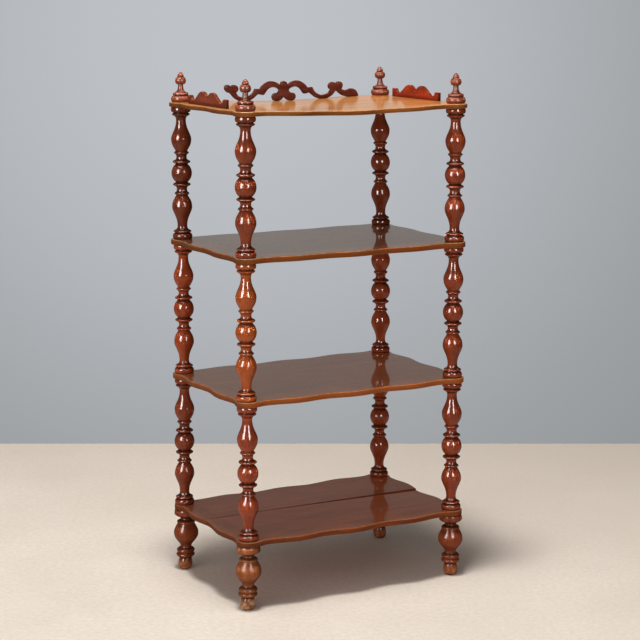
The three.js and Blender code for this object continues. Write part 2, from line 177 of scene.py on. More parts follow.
# Age and painted shade on the boards, from 0 to 1, and how wide they lie
UNDERSIDE_SHADE = 0.65
LOWER_SIDE_SHADE = 0.35
LEFT_SIDE_SHADE = 0.5
BOTTOM_ARRIS_WEAR = 0.15
JOINT_DIRT = 0.8
JOINT_DIRT_REACH = 2.0
RIM_SHADE = 0.85
PALE_FRONT_RIM = 0.4
RIM_WIDTH = 60.0
RIM_FADE = 36.0

# Age and painted shade on the turned pieces: grime with painted shade in the grooves and on the
# steep places, a painted shadow at their ends, and wear on what stands proud and on the toes. A
# reach is along the piece, to both sides.
GROOVE_REACH = 4.5
GROOVE_UNMARKED_DEPTH = 1.4
GROOVE_DARKEST_DEPTH = 5.0
STEEP_REACH = 3.5
STEEP_UNMARKED_SLOPE = 0.65
STEEP_GRIME_AND_SHADE = 0.7
END_SHADOW_HEIGHT = 1.6
MOST_TURNED_DARKENING = 0.8
PROUD_REACH = 2.2
PROUD_CLEAN_HEIGHT = 0.35
PROUD_WORN_HEIGHT = 0.9
PROUD_WEAR = 0.15
FINIAL_PROUD_WEAR = 0.4
TOE_WEAR = 0.8
TOE_WEAR_FADE = 12.0
SHRINKAGE = 0.012

# How much darker a gallery is at its foot, and the heights over which that fades and its wear begins
GALLERY_FOOT_DARKENING = 0.7
GALLERY_DARKENING_FADE = 5.0
GALLERY_WEAR_FADE = 12.0

# How far a piece may have been cut from the middle of its log
LOG_REACH = 900.0


def rgb(red, green, blue):
    """An 8-bit display colour as a linear shader colour."""
    shown = [channel / 255 for channel in (red, green, blue)]
    linear = [share / 12.92 if share <= 0.04045 else ((share + 0.055) / 1.055) ** 2.4 for share in shown]
    return (*linear, 1.0)


class Tree:
    """A short way to write a node tree. An input takes a value or another node's socket."""

    def __init__(self, owner):
        owner.use_nodes = True
        self.tree = owner.node_tree
        self.tree.nodes.clear()

    def feed(self, socket, value):
        if isinstance(value, bpy.types.NodeSocket):
            self.tree.links.new(value, socket)
        else:
            socket.default_value = value

    def add(self, kind, inputs=None, output=0, **settings):
        """A new node's output. Its inputs go by name or number, and settings are its properties."""
        made = self.tree.nodes.new("ShaderNode" + kind)
        for key, value in settings.items():
            setattr(made, key, value)
        for key, value in (inputs or {}).items():
            self.feed(made.inputs[key], value)
        return made.outputs[output] if made.outputs else made

    def attribute(self, name, output="Fac"):
        return self.add("Attribute", output=output, attribute_name=name)

    def noise(self, vector, scale, detail=4.0, roughness=0.55, distortion=0.0):
        inputs = {"Vector": vector, "Scale": scale, "Detail": detail, "Roughness": roughness,
                  "Distortion": distortion}
        return self.add("TexNoise", inputs, output="Fac")

    def grain(self, vector, along, *sizes):
        """A noise that is drawn out along the third axis."""
        stretched = self.add("Mapping", {"Vector": vector, "Scale": (1, 1, along)})
        return self.noise(stretched, *sizes)

    def ramp(self, value, stops):
        """A colour ramp through (position, colour) stops."""
        made = self.tree.nodes.new("ShaderNodeValToRGB")
        self.tree.links.new(value, made.inputs["Fac"])
        elements = made.color_ramp.elements
        while len(elements) < len(stops):
            elements.new(1.0)
        for element, (position, colour) in zip(elements, stops):
            element.position = position
            element.color = colour
        return made.outputs["Color"]

    def remap(self, value, low, high, out_low=0.0, out_high=1.0):
        inputs = {"Value": value, "From Min": low, "From Max": high, "To Min": out_low, "To Max": out_high}
        return self.add("MapRange", inputs)

    def dot(self, vector, direction):
        inputs = {0: vector, 1: direction}
        return self.add("VectorMath", inputs, output="Value", operation="DOT_PRODUCT")

    def maths(self, operation, first, second):
        return self.add("Math", {0: first, 1: second}, operation=operation)

    def mix(self, factor, first, second, blend="MIX"):
        made = self.tree.nodes.new("ShaderNodeMix")
        made.data_type = "RGBA"
        made.blend_type = blend
        for key, value in (("Factor", factor), ("A", first), ("B", second)):
            self.feed(next(s for s in made.inputs if s.name == key and s.enabled), value)
        return next(s for s in made.outputs if s.enabled)


# The noises in a wood: how long each is along the grain, as the share of its scale there, then its
# scale, detail, roughness and distortion
FINE_GRAIN = (0.045, 330.0, 6.0, 0.62, 0.35)
BROAD_GRAIN = (0.11, 46.0, 4.0, 0.6, 1.1)
FIGURE = (0.3, 17.0, 2.0, 0.5, 0.6)
PORES = (0.03, 1150.0, 2.0, 0.5)
POLISH_WAVES = (0.35, 60.0, 2.0, 0.5)
DOWEL_GRAIN = (0.06, 700.0, 5.0, 0.6)
RUBBED = (95.0, 5.0, 0.65)
CLOUDS = (13.0, 3.0, 0.55)

# How much darker and lighter than its colour a wood's grain gets
GRAIN_DARKENING = 0.45
GRAIN_LIGHTENING = 0.4

# The polish: the share of it, and of the wood's own shine, on a board's face and on its sawn side
SIDE_COAT_SHARE = 0.12
FACE_SHINE_SHARE = 0.2
SIDE_SHINE_SHARE = 0.04
TURNED_COAT_IOR = 1.34
FLAT_COAT_IOR = 1.5
WOOD_BUMP = {"Strength": 0.10, "Distance": 0.0006}
COAT_BUMP = {"Strength": 0.006, "Distance": 0.0006}
DOWEL_BUMP = {"Strength": 0.3, "Distance": 0.0003}


def shades(colour, contrast=1.0):
    """The dark, middle and light of a wood's grain."""
    linear = rgb(*colour)[:3]
    levels = (1 - GRAIN_DARKENING * contrast, 1.0, 1 + GRAIN_LIGHTENING * contrast)
    return [(*(min(channel * level, 1.0) for channel in linear), 1.0) for level in levels]


def polished_wood(name, turned, colour, edge, worn, dirt_and_shade, gloss, coat, film_roughness, contrast=1.0):
    """Polished mahogany. The grain runs along the third axis of each mesh's own timber attribute.

    The mesh also says where it carries dirt and painted shade, where it is worn and where edged.
    edge colours the sawn sides of a board, gloss is the roughness of the wood and coat the share of
    the polish left on it.
    """
    dark, middle, light = shades(colour, contrast)
    material = bpy.data.materials.new(name)
    tree = Tree(material)
    place = tree.attribute("timber", "Vector")
    fine, broad, figure, pores, film = (
        tree.grain(place, *sizes) for sizes in (FINE_GRAIN, BROAD_GRAIN, FIGURE, PORES, POLISH_WAVES))
    rubbed = tree.noise(place, *RUBBED)
    cloud = tree.noise(place, *CLOUDS)

    # The wood: fine lines on broad bands, then pores and darker clouds
    grain = tree.remap(fine, 0.2, 0.8, 0.32, 0.68)
    grain = tree.maths("ADD", grain, tree.remap(broad, 0.25, 0.75, -0.2, 0.2))
    grain = tree.maths("ADD", grain, tree.remap(figure, 0.3, 0.7, -0.12, 0.12))
    colour = tree.ramp(grain, [(0.22, dark), (0.48, middle), (0.8, light)])
    colour = tree.mix(tree.remap(pores, 0.34, 0.42, 0.5, 0.0), colour, dark)
    colour = tree.mix(tree.remap(cloud, 0.35, 0.7, 0.0, 0.25), colour, dark)

    # What age, the saw and the painted shade have done to it
    sawn = tree.attribute("side")
    side = tree.maths("MULTIPLY", sawn, tree.remap(broad, 0.3, 0.7, 0.5, 1.0))
    colour = tree.mix(side, colour, rgb(*edge))
    wear = tree.maths("MULTIPLY", tree.attribute("wear"), tree.remap(rubbed, 0.4, 0.62, 0.1, 0.9))
    colour = tree.mix(wear, colour, rgb(*worn))
    # The dark mark is dirt together with painted shade
    grime_and_shade = tree.maths("MULTIPLY", tree.attribute("dirt_and_shade"), tree.remap(rubbed, 0.3, 0.7, 1.0, 0.7))
    colour = tree.mix(grime_and_shade, colour, rgb(*dirt_and_shade))

    # The polish: it fades where a turned piece slants away, and is thin on a board's sawn side
    if turned:
        slant = tree.add("LayerWeight", {"Blend": 0.5}, output="Facing")
        film_weight = tree.remap(slant, 0.55, 0.9, coat, 0.0)
        shine = 0.0
    else:
        film_weight = tree.remap(sawn, 0.0, 1.0, coat, SIDE_COAT_SHARE * coat)
        shine = tree.remap(sawn, 0.0, 1.0, FACE_SHINE_SHARE * coat, SIDE_SHINE_SHARE * coat)

    rough = tree.remap(rubbed, 0.3, 0.75, gloss, gloss + 0.14)
    rough = tree.maths("ADD", rough, tree.maths("MULTIPLY", grime_and_shade, 0.25))
    relief = tree.maths("ADD", tree.maths("MULTIPLY", fine, 0.5), tree.maths("MULTIPLY", rubbed, 0.35))
    inputs = {"Base Color": colour, "Roughness": rough, "Specular IOR Level": shine,
              "Normal": tree.add("Bump", {**WOOD_BUMP, "Height": relief}),
              "Coat Weight": film_weight, "Coat Roughness": film_roughness,
              "Coat IOR": TURNED_COAT_IOR if turned else FLAT_COAT_IOR,
              "Coat Normal": tree.add("Bump", {**COAT_BUMP, "Height": film})}
    shader = tree.add("BsdfPrincipled", inputs)
    tree.add("OutputMaterial", {"Surface": shader})
    return material


def bare_wood(name, colour):
    """Unpolished dowel stock with plain straight grain."""
    dark, middle, _ = shades(colour)
    material = bpy.data.materials.new(name)
    tree = Tree(material)
    place = tree.add("TexCoord", output="Object")
    grain = tree.grain(place, *DOWEL_GRAIN)
    colour = tree.ramp(grain, [(0.3, dark), (0.7, middle)])
    bump = tree.add("Bump", {**DOWEL_BUMP, "Height": grain})
    shader = tree.add("BsdfPrincipled", {"Base Color": colour, "Roughness": 0.75, "Normal": bump})
    tree.add("OutputMaterial", {"Surface": shader})
    return material


# Each finish: the colour of its grain, of its sawn edges, worn places and dirt with painted shade,
# then its roughness, the share of polish left on it and the roughness of that, and for some the
# contrast of its grain
POST_GRIME_AND_SHADE = (50, 22, 15)
POST_EDGE = (150, 70, 36)
RIM_SHADE_AND_DIRT = (84, 50, 35)
TURNED_FINISHES = {
    "red_post": ((134, 59, 32), POST_EDGE, (176, 92, 50), POST_GRIME_AND_SHADE, 0.4, 0.75, 0.14),
    "bright_post": ((149, 66, 37), POST_EDGE, (186, 104, 58), POST_GRIME_AND_SHADE, 0.4, 0.75, 0.14),
    "orange_post": ((166, 80, 35), POST_EDGE, (200, 118, 62), POST_GRIME_AND_SHADE, 0.4, 0.75, 0.14),
    "warm_post": ((152, 65, 32), POST_EDGE, (186, 100, 54), POST_GRIME_AND_SHADE, 0.4, 0.75, 0.14),
    "brown_post": ((121, 54, 30), POST_EDGE, (158, 82, 46), POST_GRIME_AND_SHADE, 0.4, 0.75, 0.14),
    "dark_post": ((109, 49, 27), POST_EDGE, (158, 82, 46), POST_GRIME_AND_SHADE, 0.4, 0.75, 0.14),
    "worn_finial": ((142, 71, 46), POST_EDGE, (214, 146, 116), (62, 27, 18), 0.42, 0.5, 0.19),
    "worn_foot": ((146, 84, 49), (160, 90, 48), (244, 194, 148), (52, 28, 16), 0.5, 0.32, 0.2, 1.7),
    "red_foot": ((126, 60, 33), (138, 70, 38), (192, 124, 78), (40, 20, 12), 0.45, 0.45, 0.17, 1.4),
}
FLAT_FINISHES = {
    "upper_shelf": ((154, 88, 42), (132, 68, 26), (206, 136, 82), RIM_SHADE_AND_DIRT, 0.45, 0.78, 0.06, 0.5),
    "lower_shelf": ((182, 94, 34), (158, 86, 42), (206, 136, 82), RIM_SHADE_AND_DIRT, 0.45, 0.77, 0.06, 0.5),
    "bottom_shelf": ((184, 92, 42), (92, 48, 28), (166, 110, 76), RIM_SHADE_AND_DIRT, 0.45, 0.5, 0.07, 0.6),
    "top_shelf": ((208, 134, 62), (122, 66, 30), (230, 176, 130), (84, 42, 20), 0.4, 0.75, 0.11),
    "back_gallery": ((86, 34, 20), (70, 27, 16), (130, 70, 46), (30, 12, 8), 0.5, 0.12, 0.15),
    "left_gallery": ((112, 48, 28), (84, 36, 22), (150, 88, 60), (40, 16, 10), 0.5, 0.12, 0.15),
    "right_gallery": ((130, 36, 10), (80, 34, 22), (170, 84, 48), (44, 16, 10), 0.5, 0.12, 0.15),
}


def make_materials():
    made = {}
    for finishes, turned in ((TURNED_FINISHES, True), (FLAT_FINISHES, False)):
        for name, finish in finishes.items():
            made[name] = polished_wood(name + "_polish", turned, *finish)
    made["dowel"] = bare_wood("dowel_stock", (196, 160, 114))
    return made


def smooth_curve(points, steps):
    """Points along a smooth curve through the given ones, which it keeps."""
    keys = np.array(points, float)
    padded = np.vstack([2 * keys[0] - keys[1], keys, 2 * keys[-1] - keys[-2]])
    made = []
    for before, start, end, after in zip(padded, padded[1:], padded[2:], padded[3:]):
        for share in np.arange(steps) / steps:
            bend = 2 * before - 5 * start + 4 * end - after
            twist = 3 * (start - end) + after - before
            made.append(start + 0.5 * share * (end - before + share * (bend + share * twist)))
    return np.array([*made, keys[-1]])


# Turned members. Each gives (share of its height, radius) rows above the radius that it starts at.
def half_ball(start, height, full, end):
    shares = np.linspace(0, 1, math.ceil(height / MEMBER_STEP))[1:]
    return height, shares, np.sqrt(full**2 - (full**2 - end**2) * shares**2)


def bead(start, height, full, end):
    """A half-round swelling that leaves both ends square."""
    turns = np.linspace(0, np.pi, math.ceil(height / MEMBER_STEP) + BEAD_EXTRA_STEPS)[1:]
    shares = (1 - np.cos(turns)) / 2
    floor = start + (end - start) * shares
    return height, shares, floor + (full - floor) * np.sin(turns) ** BEAD_SQUARENESS


def curve(start, height, keys):
    points = smooth_curve(keys, max(2, math.ceil(height / MEMBER_STEP / len(keys))))[1:]
    return height, points[:, 0], points[:, 1]


def stack(start, members):
    """Rows of (height, radius) of a turned piece, from the member functions and their sizes."""
    rows = [np.array([[0.0, start]])]
    for member, sizes in members:
        base, radius = rows[-1][-1]
        height, shares, radii = member(radius, **sizes)
        rows.append(np.column_stack([base + height * shares, radii]))
    return np.vstack(rows)


def spindle_rows():
    upper = stack(BALL["full"], [
        (half_ball, BALL), (curve, DISC), (curve, SPOOL), (curve, SMALL_RING), (curve, VASE),
        (curve, NECK), (curve, LIP), (bead, TORUS),
    ])
    lower = upper[:0:-1] * (-1, 1)
    rows = np.vstack([lower, upper])
    rows[:, 0] -= rows[0, 0]
    return rows


def foot_rows():
    return stack(SOLE_RADIUS, [
        (curve, TOE), (curve, LOWER_RING), (curve, UPPER_RING), (curve, URN), (curve, URN_LIP),
        (curve, FOOT_NECK), (curve, COLLAR),
    ])


def finial_rows():
    return stack(BASE_RADIUS, [
        (bead, BASE_TORUS), (curve, BASE_DISC), (curve, CONE), (bead, KNOB), (curve, BUD),
    ])


def nearby(heights, radii, reach, pick):
    """The largest, smallest or mean radius within reach of each row."""
    return np.array([pick(radii[np.abs(heights - height) <= reach]) for height in heights])


def add_piece(name, points, faces, marks, timber, material, smooth_angle=SMOOTH_ANGLE):
    """One mesh, from points in millimetres, that stands for the CAD node of the same name."""
    mesh = bpy.data.meshes.new(name + "_looks")
    mesh.from_pydata((np.asarray(points) * MM).tolist(), [], faces)
    for mark, values in marks.items():
        layer = mesh.attributes.new(mark, "FLOAT", "POINT")
        layer.data.foreach_set("value", np.clip(values, 0, 1).astype(np.float32))
    layer = mesh.attributes.new("timber", "FLOAT_VECTOR", "POINT")
    layer.data.foreach_set("vector", (np.asarray(timber) * MM).astype(np.float32).ravel())
    mesh.shade_smooth()
    mesh.set_sharp_from_angle(angle=math.radians(smooth_angle))
    mesh.materials.append(material)
    piece = bpy.data.objects.new(name + "_looks", mesh)
    bpy.context.scene.collection.objects.link(piece)
    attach(piece, "root")
    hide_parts(name)
    return piece


def timber_shift(name):
    """Where in its own log a piece was cut, so that no two share their grain."""
    chance = random.Random(name)
    return np.array([chance.uniform(-LOG_REACH, LOG_REACH) for _ in range(3)])


def turned_marks(heights, radii, rubbed, rubbed_below):
    """How dark each row of a turned piece is with grime and painted shade, and how worn it is."""
    apart = heights + LEAST_ROW_GAP * np.arange(len(heights))
    steep = np.abs(np.gradient(radii, apart))
    # Grime with painted shade in the grooves and on the steep places, and a painted shadow at each end
    dirt_and_shade = (nearby(heights, radii, GROOVE_REACH, np.max) - radii - GROOVE_UNMARKED_DEPTH) / GROOVE_DARKEST_DEPTH
    dirt_and_shade += STEEP_GRIME_AND_SHADE * np.clip(nearby(heights, steep, STEEP_REACH, np.mean) - STEEP_UNMARKED_SLOPE, 0, 1)
    from_end = np.minimum(heights, heights[-1] - heights)
    dirt_and_shade = np.maximum(dirt_and_shade, MOST_TURNED_DARKENING - from_end / END_SHADOW_HEIGHT)
    dirt_and_shade = np.minimum(dirt_and_shade, MOST_TURNED_DARKENING)
    proud = (radii - nearby(heights, radii, PROUD_REACH, np.mean) - PROUD_CLEAN_HEIGHT) / PROUD_WORN_HEIGHT
    wear = rubbed * np.clip(proud, 0, 1) + TOE_WEAR * np.clip((rubbed_below - heights) / TOE_WEAR_FADE, 0, 1)
    return dirt_and_shade, wear


def turned_piece(name, rows, base, material, slot, foot=0.0, top=0.0, bent_below=None,
                 rubbed=PROUD_WEAR, rubbed_below=0.0):
    """A turned piece. foot and top are how far its two ends stand off an upright axis, along x.

    The whole of it leans, or only the part below bent_below. rubbed is how worn its proud rings
    are, and it is also worn below the height rubbed_below.
    """
    chance = random.Random(name)
    heights, radii = rows.T
    fullness = 1 - chance.uniform(0, SHRINKAGE)
    radii = radii * fullness
    angles = 2 * np.pi * (np.arange(TURNED_SIDES) + chance.random()) / TURNED_SIDES
    ring = np.column_stack([np.cos(angles), np.sin(angles)])
    flat = (radii[:, None, None] * ring[None]).reshape(-1, 2)
    level = np.repeat(heights, TURNED_SIDES)
    tilt = np.interp(level, (0, bent_below or heights[-1]), (foot, top))
    points = np.column_stack([flat[:, 0] + tilt, flat[:, 1], level]) + np.array(base)
    count = len(radii)
    below = np.arange(count - 1)[:, None] * TURNED_SIDES + np.arange(TURNED_SIDES)
    beside = np.roll(below, -1, axis=1)
    quads = np.stack([below, beside, beside + TURNED_SIDES, below + TURNED_SIDES], axis=-1)
    faces = quads.reshape(-1, 4).tolist()
    faces.append(list(range(TURNED_SIDES))[::-1])
    faces.append(list(range((count - 1) * TURNED_SIDES, count * TURNED_SIDES)))
    dirt_and_shade, wear = turned_marks(heights, radii, rubbed, rubbed_below)
    marks = {"dirt_and_shade": np.repeat(dirt_and_shade, TURNED_SIDES), "wear": np.repeat(wear, TURNED_SIDES),
             "side": np.zeros(len(points))}
    timber = np.column_stack([flat, level]) + timber_shift(name)
    return add_piece(name, points, faces, marks, timber, material)


def place_of(node):
    """The middle of a CAD node's box, and its lowest and highest corner, in millimetres."""
    low, high = (np.array(corner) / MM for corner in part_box(node))
    return (low + high) / 2, low, high


def wave_dip(along, half_span, count, depth, corner_run):
    """How far a wavy edge lies behind its crests, by the distance from its middle."""
    reach = half_span - corner_run
    waves = np.cos(np.pi * count * (along / reach + 1))
    corner = np.cos(np.pi * (np.abs(along) - reach) / corner_run)
    return depth / 2 * (1 + np.where(np.abs(along) < reach, waves, corner))


def ear(centre, start, stop):
    angles = np.radians(np.linspace(start, stop, EAR_STEPS))
    return np.array(centre) + EAR_RADIUS * np.column_stack([np.cos(angles), np.sin(angles)])


def shelf_edges(half_x, half_y, share=1.0):
    """The four edges of a shelf, anticlockwise from the front. They meet in the middle of each ear.

    share is how deep this shelf's waves are sawn, against the usual.
    """
    x = np.linspace(-half_x, half_x, 4 * LONG_STEPS)
    y = np.linspace(-half_y, half_y, 4 * SHORT_STEPS)
    long_out = half_y + EAR_RADIUS - share * wave_dip(x, half_x, **LONG_WAVE)
    short_out = half_x + EAR_RADIUS - share * wave_dip(y, half_y, **SHORT_WAVE)
    front = np.vstack([ear((-half_x, -half_y), 225, 270), np.column_stack([x, -long_out]),
                       ear((half_x, -half_y), 270, 315)])
    right = np.vstack([ear((half_x, -half_y), 315, 360), np.column_stack([short_out, y]),
                       ear((half_x, half_y), 0, 45)])
    return [front, right, -front, -right]


def cut_path(path, y, keep_below):
    """The part of an edge on one side of a line of constant y, with its end on the line."""
    order = path if path[-1, 1] > path[0, 1] else path[::-1]
    x_there = np.interp(y, order[:, 1], order[:, 0])
    inside = path[path[:, 1] < y] if keep_below else path[path[:, 1] > y]
    end = np.array([[x_there, y]])
    joins_last = abs(inside[-1, 1] - y) < abs(inside[0, 1] - y)
    return np.vstack([inside, end]) if joins_last else np.vstack([end, inside])


def evenly(path, steps):
    lengths = np.r_[0, np.cumsum(np.linalg.norm(np.diff(path, axis=0), axis=1))]
    wanted = np.linspace(0, lengths[-1], steps + 1)
    return np.column_stack([np.interp(wanted, lengths, path[:, axis]) for axis in (0, 1)])


def outward(loop):
    """Unit normals of a closed anticlockwise loop."""
    along = np.roll(loop, -1, axis=0) - np.roll(loop, 1, axis=0)
    normals = np.column_stack([along[:, 1], -along[:, 0]])
    return normals / np.linalg.norm(normals, axis=1)[:, None]


def coons(front, right, back, left):
    """A grid of points spread between four edges that run anticlockwise from the front."""
    back, left = back[::-1], left[::-1]
    u = np.linspace(0, 1, len(front))[None, :, None]
    v = np.linspace(0, 1, len(right))[:, None, None]
    ruled = (1 - v) * front[None] + v * back[None] + (1 - u) * left[:, None] + u * right[:, None]
    corners = (1 - u) * (1 - v) * front[0] + u * (1 - v) * front[-1] + u * v * back[-1]
    return ruled - corners - (1 - u) * v * back[0]


def near_rim(flat, sides):
    """From 0 inside a shelf to 1 at its left rim, its front rim or both (axes 0 and 1)."""
    corner = place_of("top_shelf")[1][:2]
    inside = (flat - corner)[:, sides].min(axis=1)
    return np.clip((RIM_WIDTH - inside) / RIM_FADE, 0, 1)


def face_grid(loop, steps):
    """A grid of points inside a loop of four edges. steps is the number of steps of each edge."""
    ends = np.cumsum(steps)
    edges = [np.vstack([edge, loop[end % len(loop)]]) for edge, end in zip(np.split(loop, ends[:-1]), ends)]
    return coons(*edges).reshape(-1, 2)


def board_rings(low, high):
    """The rings round a board's side, from its top level down to its bottom one.

    Each is its inset, its level, how sawn and worn it is, and how dark its painted shade is.
    """
    turns = np.linspace(0, np.pi / 2, ARRIS_STEPS)
    upper = [(TOP_ARRIS * (1 - math.sin(a)), high - TOP_ARRIS * (1 - math.cos(a)),
              math.sin(a) ** 3, math.sin(2 * a), 0.0) for a in turns[1:]]
    # The lower rings carry painted shade, darker towards the bottom of the side
    lower = [(BOTTOM_ARRIS * (1 - math.cos(a)), low + BOTTOM_ARRIS * (1 - math.sin(a)),
              math.cos(a), BOTTOM_ARRIS_WEAR * math.sin(2 * a), LOWER_SIDE_SHADE) for a in turns[:-1]]
    return upper + lower


def board_faces(ring_count):
    """The faces of a board's top grid, of its bottom grid and between its rings."""
    cols, rows = LONG_STEPS + 1, SHORT_STEPS + 1
    index = np.arange(cols * rows).reshape(rows, cols)
    border = np.concatenate([index[0, :-1], index[:-1, -1], index[-1, :0:-1], index[:0:-1, 0]])
    rings = index.size + np.arange(ring_count * len(border)).reshape(ring_count, -1)
    to_bottom = index.size + rings.size
    top = np.stack([index[:-1, :-1], index[:-1, 1:], index[1:, 1:], index[1:, :-1]], axis=-1)
    top = top.reshape(-1, 4)
    chain = [border, *rings, border + to_bottom]
    skirts = [np.stack([lower, np.roll(lower, -1), np.roll(upper, -1), upper], axis=-1)
              for upper, lower in zip(chain, chain[1:])]
    return np.vstack([top, top[:, ::-1] + to_bottom, *skirts]).tolist()


def board(name, edges, sag, material, joined=False):
    """A shelf board with rounded arrises between four edges. sag(x, y) is how far it has sunk.

    Its points are the top face, then rings round its side from the top down, then the bottom face.
    Painted shade darkens the undersides, the lower part of the sides and the sides that face left,
    and the front and left rims of the lower ones; the front rim of the top one is paler. joined is
    whether it is one of the two bottom boards.
    """
    steps = (LONG_STEPS, SHORT_STEPS, LONG_STEPS, SHORT_STEPS)
    edges = [evenly(edge, count) for edge, count in zip(edges, steps)]
    loop = np.vstack([edge[:-1] for edge in edges])
    normals = outward(loop)
    _, low, high = place_of(name)
    rings = board_rings(low[2], high[2])
    insets, levels, sawn, worn, shaded = zip(*rings)
    top, bottom = (face_grid(loop - normals * arris, steps) for arris in (TOP_ARRIS, BOTTOM_ARRIS))

    def spread(values, at_top=0.0, at_bottom=0.0):
        """One value for each point, from the value of each ring."""
        per_point = np.repeat(values, len(loop))
        return np.concatenate([np.full(len(top), at_top), per_point, np.full(len(bottom), at_bottom)])

    flat = np.vstack([top] + [loop - normals * inset for inset in insets] + [bottom])
    heights = spread(levels, high[2], low[2])
    points = np.column_stack([flat, heights - sag(flat[:, 0], flat[:, 1])])
    timber = np.column_stack([flat[:, 1], heights, flat[:, 0]]) + timber_shift(name)
    at_joint = np.abs(flat[:, 1] - JOINT_Y) < JOINT_DIRT_REACH if joined else np.zeros(len(flat), bool)
    wear = spread(worn) * ~at_joint
    # Painted shade on the underside and on the lower part of the side
    dirt_and_shade = spread(shaded, at_bottom=UNDERSIDE_SHADE)
    # Painted shade on the sides that face left
    to_left = np.clip(-normals[:, 0], 0, 1)
    dirt_and_shade[len(top):-len(bottom)] += LEFT_SIDE_SHADE * np.tile(to_left, len(rings))
    if name == "top_shelf":
        # The top face of the top board is paler along its front rim
        wear[:len(top)] = PALE_FRONT_RIM * near_rim(top, [1])
    else:
        # Painted shade round the front and left rims of the lower boards
        dirt_and_shade[:len(top)] = RIM_SHADE * near_rim(top, [0, 1])
    dirt_and_shade[at_joint] = JOINT_DIRT
    marks = {"side": spread(sawn) * ~at_joint, "wear": wear, "dirt_and_shade": dirt_and_shade}
    return add_piece(name, points, board_faces(len(rings)), marks, timber, material)


def sawn_outline(runs, half_length, height):
    """The points of a fretwork outline, from runs of shares, without the last point."""
    size = np.array([half_length, height])
    traced = [smooth_curve(np.array(run) * size, CURVE_STEPS if len(run) > 2 else 1)[:-1] for run in runs]
    return np.vstack(traced)


def scroll_outline():
    """The back gallery, clockwise. Its left half mirrors the right, but the leaf has broken off."""
    size = (SCROLL_HALF_LENGTH, SCROLL_HEIGHT)
    right = sawn_outline(SCROLL_HEAD_SHARES + SCROLL_LEAF_SHARES + SCROLL_TAIL_SHARES, *size)
    notch = np.array([SCROLL_TAIL_SHARES[-1][-1]]) * size
    left = sawn_outline(SCROLL_HEAD_SHARES + BROKEN_KNOB_SHARES + SCROLL_TAIL_SHARES, *size)[1:]
    return np.vstack([right, notch, left[::-1] * (-1, 1)])


def side_outline():
    half = sawn_outline(SIDE_TOP_SHARES, SIDE_HALF_LENGTH, SIDE_HEIGHT)
    foot = np.array([[SIDE_HALF_LENGTH, 0.0]])
    return np.vstack([half, foot, foot * (-1, 1), half[:0:-1] * (-1, 1)])


# The rings from a gallery's face to the flat of its edge: their inset and depth, in arrises, and how
# sawn and worn they are
GALLERY_RINGS = ((1.0, 0.0, 0.0, 0.15), (0.25, 0.25, 0.6, 0.5), (0.0, 1.0, 1.0, 0.05))


def sawn_piece(name, outline, along_y, sink, material):
    """A fret-sawn board that stands on the top shelf. sink(along) is how far the shelf sags there."""
    middle, low, _ = place_of(name)
    if not along_y:
        # Its box lacks the broken leaf, so the gallery's own middle is the object's
        middle[0] = 0.0
    loop = outline[::-1]
    normals = outward(loop)
    half = GALLERY_THICKNESS / 2
    near_rings = [(inset * GALLERY_ARRIS, deep * GALLERY_ARRIS - half, sawn, worn)
                  for inset, deep, sawn, worn in GALLERY_RINGS]
    rings = near_rings + [(inset, -deep, sawn, worn) for inset, deep, sawn, worn in near_rings[::-1]]
    insets, depths, sawn, worn = zip(*rings)
    count = len(loop)
    flat = np.vstack([loop - normals * inset for inset in insets])
    depth = np.repeat(depths, count)
    cap = geometry.tessellate_polygon([[Vector((x, z, 0)) for x, z in flat[:count]]])
    faces = [list(tri) for tri in cap]
    faces += [[(len(rings) - 1) * count + corner for corner in tri[::-1]] for tri in cap]
    for k in range(len(rings) - 1):
        for i in range(count):
            after = (i + 1) % count
            faces.append([k * count + after, k * count + i, (k + 1) * count + i, (k + 1) * count + after])
    along, up = flat.T
    height = up + low[2] - GALLERY_SETTLE - sink(along)
    if along_y:
        points = np.column_stack([middle[0] - depth, middle[1] + along, height])
    else:
        points = np.column_stack([middle[0] + along, middle[1] + depth, height])
    timber = np.column_stack([up, depth, along]) + timber_shift(name)
    # Darker towards its foot, and more worn towards its top
    marks = {"side": np.repeat(sawn, count), "dirt_and_shade": GALLERY_FOOT_DARKENING - up / GALLERY_DARKENING_FADE,
             "wear": np.repeat(worn, count) * np.clip(up / GALLERY_WEAR_FADE, 0, 1)}
    return add_piece(name, points, faces, marks, timber, material, SAWN_SMOOTH_ANGLE)


def shelf_sag(depth, half_x):
    """A board that has sunk in the middle of its length, and less at its ends."""
    return lambda x, y: depth * np.cos(np.clip(np.pi * x / (2 * half_x), -np.pi / 2, np.pi / 2)) ** 2


